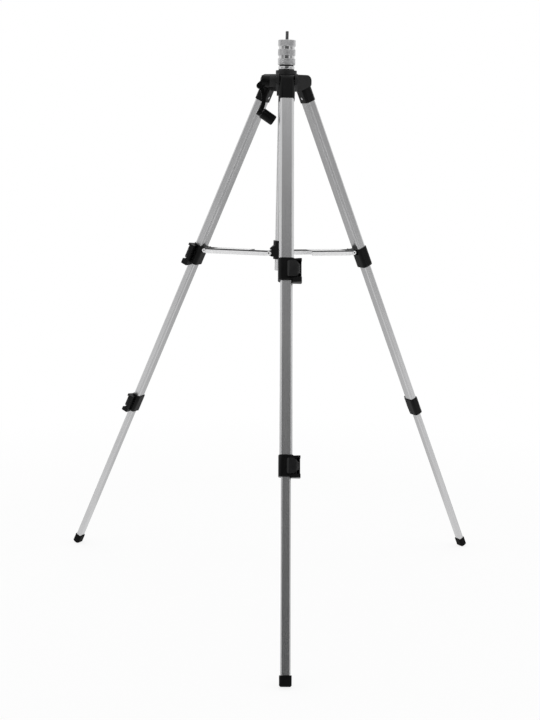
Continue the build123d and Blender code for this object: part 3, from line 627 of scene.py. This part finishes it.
# widths of the softened edges, of single nodes and of those on each leg
softEdges = {"join": 0.000005, "segments": 2, "angle": 35.0, "housing": 0.0005}
edgeWidths = {
    "spider": 0.00055, "brace_hub": 0.0004, "crank_hub": 0.0005,
    "crank_arm": 0.0006, "column_plug": 0.0004,
}
legEdgeWidths = {
    "knuckle": 0.0006, "lower_clamp": 0.0005, "upper_lever": 0.0005,
    "lower_lever": 0.0005, "foot": 0.0006,
}


def soften(piece, width):
    weld = piece.modifiers.new("join", "WELD")
    weld.merge_threshold = softEdges["join"]
    edge = piece.modifiers.new("softEdges", "BEVEL")
    edge.width = width
    edge.segments = softEdges["segments"]
    edge.limit_method = "ANGLE"
    edge.angle_limit = math.radians(softEdges["angle"])
    edge.harden_normals = True


buildHead()
buildStud()
for name, width in edgeWidths.items():
    soften(nodes[name], width)
for leg in legLayout["azimuth"]:
    buildKnuckleRivet(leg)
    buildBraceRivets(leg)
    soften(buildClampHousing(leg), softEdges["housing"])
    for part, width in legEdgeWidths.items():
        soften(nodes[leg + "_" + part], width)
print("small pieces built and edges softened")


def seenDirectly(tree):
    # one for camera, mirror and glass rays, nought for the light that falls on things
    path = addNode(tree, "ShaderNodeLightPath")
    either = combine(tree, "MAXIMUM", path.outputs["Is Camera Ray"], path.outputs["Is Glossy Ray"])
    return combine(tree, "MAXIMUM", either, path.outputs["Is Transmission Ray"])


def mixToOutput(tree, share, first, second, outputKind):
    mix = addNode(tree, "ShaderNodeMixShader")
    tree.links.new(share, mix.inputs["Fac"])
    tree.links.new(first, mix.inputs[1])
    tree.links.new(second, mix.inputs[2])
    output = addNode(tree, outputKind)
    tree.links.new(mix.outputs["Shader"], output.inputs["Surface"])


def flatSheet(name, wide, tall, height=0.0):
    corners = [(-wide, -tall, height), (wide, -tall, height), (wide, tall, height), (-wide, tall, height)]
    mesh = bpy.data.meshes.new(name)
    mesh.from_pydata(corners, [], [(0, 1, 2, 3)])
    sheet = bpy.data.objects.new(name, mesh)
    scene.collection.objects.link(sheet)
    return sheet


floorLook = {
    "height": cadBox[0][2], "half": 9.0, "paper": 0.88,
    "glow": 0.85, "fadeStart": 0.75, "fadeEnd": 1.5,
}


def buildFloor():
    # pale paper with a soft shadow near the feet, which fades into plain white further out
    floor = flatSheet("floor", floorLook["half"], floorLook["half"], floorLook["height"])
    finish, tree = bareFinish("paleFloor")
    paper = addNode(tree, "ShaderNodeBsdfDiffuse")
    paper.inputs["Color"].default_value = (floorLook["paper"],) * 3 + (1,)
    white = addNode(tree, "ShaderNodeEmission")
    white.inputs["Color"].default_value = (1, 1, 1, 1)
    apart = addNode(tree, "ShaderNodeVectorMath", operation="DISTANCE")
    apart.inputs[1].default_value = (0, 0, floorLook["height"])
    tree.links.new(objectPlace(tree), apart.inputs[0])
    distance = apart.outputs["Value"]
    fade = spread(tree, distance, floorLook["glow"], 1.0, floorLook["fadeStart"], floorLook["fadeEnd"])
    share = combine(tree, "MULTIPLY", seenDirectly(tree), fade)
    mixToOutput(tree, share, paper.outputs["BSDF"], white.outputs["Emission"], "ShaderNodeOutputMaterial")
    floor.data.materials.append(finish)


tentLook = {"lightLevel": 0.7}


def buildWorld():
    # an even light tent, seen as plain white
    world = bpy.data.worlds.new("lightTent")
    scene.world = world
    world.use_nodes = True
    tree = world.node_tree
    tree.nodes.clear()
    tent = addNode(tree, "ShaderNodeBackground")
    tent.inputs["Color"].default_value = (tentLook["lightLevel"],) * 3 + (1,)
    white = addNode(tree, "ShaderNodeBackground")
    white.inputs["Color"].default_value = (1, 1, 1, 1)
    share = seenDirectly(tree)
    mixToOutput(tree, share, tent.outputs["Background"], white.outputs["Background"], "ShaderNodeOutputWorld")


def standing(look, roll=0.0):
    # stands at its place, looks at its aim and is rolled about that line
    line = Vector(look["aim"]) - Vector(look["place"])
    turn = line.to_track_quat("-Z", "Y").to_matrix() @ Matrix.Rotation(math.radians(roll), 3, "Z")
    return Matrix.Translation(look["place"]) @ turn.to_4x4()


# grey cards that show only as reflections in the metal; low and high are the levels at their two edges
cardSettings = {
    "frontCard": {
        "place": (-0.1, -2.6, 1.1), "aim": (0, 0, 1.1), "size": (3.0, 4.2), "low": 0.03, "high": 0.42,
    },
    "leftCard": {
        "place": (-2.6, -1.3, -0.3), "aim": (0, 0, -0.3), "size": (2.2, 1.4), "low": 0.86, "high": 0.28,
    },
    "rightCard": {
        "place": (2.6, -1.2, -0.3), "aim": (0, 0, -0.3), "size": (2.2, 1.4), "low": 0.66, "high": 0.34,
    },
    "backCard": {
        "place": (0, 1.0, -1.04), "aim": (0, 1.0, -2.0), "size": (4.0, 1.4), "low": 0.8, "high": 0.28,
    },
    "footCard": {
        "place": (0, -1.075, -1.04), "aim": (0, -1.075, -2.0), "size": (3.0, 1.85), "low": 0.3, "high": 0.88,
    },
}


def buildCards():
    for name, look in cardSettings.items():
        wide, tall = look["size"][0] / 2, look["size"][1] / 2
        card = flatSheet(name, wide, tall)
        card.matrix_world = standing(look)
        for rays in ("camera", "diffuse", "shadow", "transmission"):
            setattr(card, "visible_" + rays, False)
        finish, tree = bareFinish(name)
        glow = addNode(tree, "ShaderNodeEmission")
        height = heightAlong(tree, objectPlace(tree), (0, 1, 0))
        tree.links.new(spread(tree, height, look["low"], look["high"], -tall, tall), glow.inputs["Color"])
        output = addNode(tree, "ShaderNodeOutputMaterial")
        tree.links.new(glow.outputs["Emission"], output.inputs["Surface"])
        card.data.materials.append(finish)


lampSettings = {
    "leftPanel": {"place": (-2.9, -0.5, 1.2), "aim": (0, 0, -0.5), "size": (3.0, 2.6), "power": 20.0},
    "rightPanel": {"place": (2.9, -0.3, 1.2), "aim": (0, 0, -0.5), "size": (3.0, 2.6), "power": 20.0},
    "topPanel": {"place": (0, 0.5, 2.4), "aim": (0, 0, -0.5), "size": (2.0, 2.0), "power": 20.0},
}


def buildLamps():
    # soft panels, hidden from reflections, where the cards are seen
    for name, look in lampSettings.items():
        lamp = bpy.data.lights.new(name, "AREA")
        lamp.shape = "RECTANGLE"
        lamp.size, lamp.size_y = look["size"]
        lamp.energy = look["power"]
        holder = bpy.data.objects.new(name, lamp)
        holder.matrix_world = standing(look)
        holder.visible_glossy = False
        scene.collection.objects.link(holder)


cameraView = {
    "place": (-0.1022, -2.3774, -0.1696), "aim": (0, 0, -0.5598), "roll": 1.296,
    "lens": 63.0, "sensor": 36.0, "shiftX": -0.01425, "shiftY": -0.0279, "clipEnd": 50.0,
}


def buildCamera():
    lens = bpy.data.cameras.new("camera")
    lens.lens = cameraView["lens"]
    lens.sensor_width = cameraView["sensor"]
    lens.shift_x = cameraView["shiftX"]
    lens.shift_y = cameraView["shiftY"]
    lens.clip_end = cameraView["clipEnd"]
    holder = bpy.data.objects.new("camera", lens)
    holder.matrix_world = standing(cameraView, cameraView["roll"])
    scene.collection.objects.link(holder)
    scene.camera = holder


buildFloor()
buildWorld()
buildCards()
buildLamps()
buildCamera()
scene.view_settings.view_transform = "Standard"
print("stage, light and camera set")
